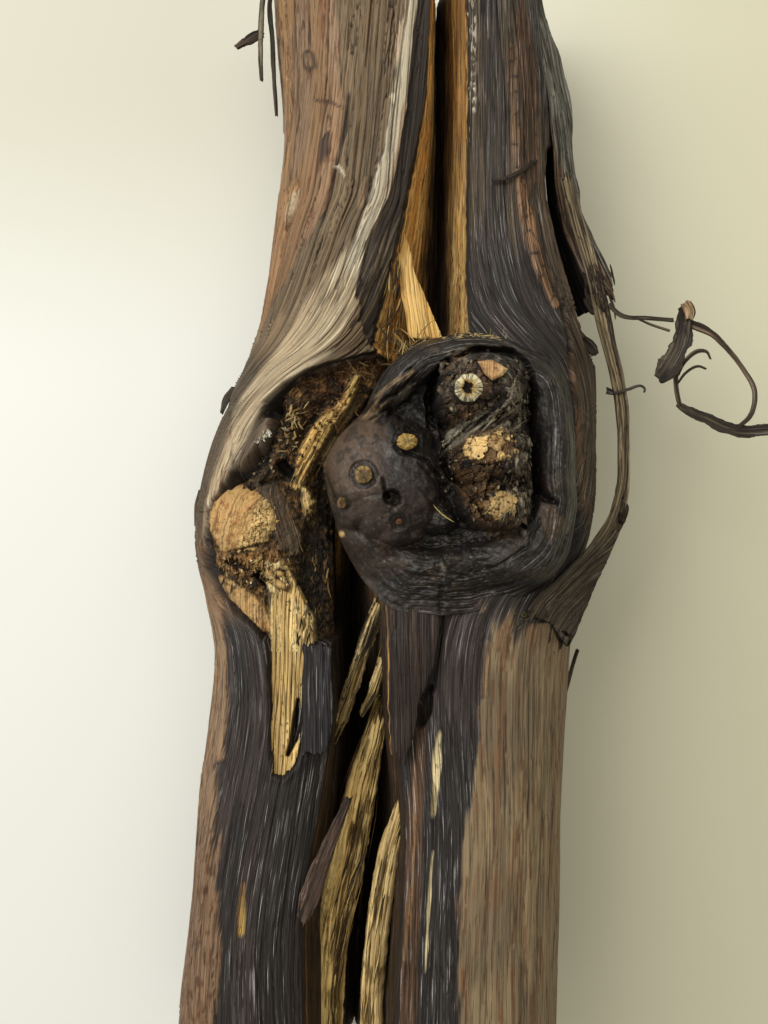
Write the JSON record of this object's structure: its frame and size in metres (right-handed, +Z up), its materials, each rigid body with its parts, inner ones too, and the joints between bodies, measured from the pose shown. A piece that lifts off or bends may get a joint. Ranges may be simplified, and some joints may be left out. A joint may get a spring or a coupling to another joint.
{
  "type": "length of old grapevine trunk",
  "caption": "Sawn length of old grapevine trunk, split into two limbs, with a burl of pruning knobs, an open wound and peeling bark strips.",
  "frame": {"origin": "middle of the trunk's footprint, on the ground it lies on; the footprint takes in the loose curls of bark", "axes": "+Y along the trunk from the butt to the tip, +Z up through the split and the burl, +X to the side of the peeled bark"},
  "size_m": [0.1351, 0.256, 0.0811],
  "materials": {
    "bark": "fibrous, low sheen",
    "weathered_bark": "dry, matte",
    "wood": "bare, matte",
    "old_wood": "decayed, matte"
  },
  "bodies": {
    "root": {"left_limb": "bark", "right_limb": "bark", "knob_left": "bark", "knob_upper": "bark", "knob_middle": "bark", "knob_lower": "bark", "knob_small_left": "bark", "knob_small_right": "bark", "burl_collar": "bark", "burl_base": "bark", "bark_tongue_right": "bark", "bark_tongue_left": "bark", "bark_sliver": "bark", "bark_plate": "weathered_bark", "bark_bow": "weathered_bark", "curl_stem": "weathered_bark", "curl_plate": "weathered_bark", "curl_loop": "weathered_bark", "curl_drop": "weathered_bark", "curl_tail": "weathered_bark", "shred_dark": "weathered_bark", "shred_pale": "weathered_bark", "shred_chip": "weathered_bark", "side_twig": "weathered_bark", "old_stub": "wood", "bare_wood": "wood", "stub_ring": "wood", "stub_high": "wood", "stub_low": "wood", "stub_side": "wood", "stub_foot": "wood", "bud_chip": "wood", "splinter_upper": "wood", "splinter_a": "wood", "splinter_b": "wood", "splinter_main": "wood", "splinter_right": "wood", "wound_ridge": "old_wood", "wound_wood": "old_wood"}
  },
  "joints": []
}
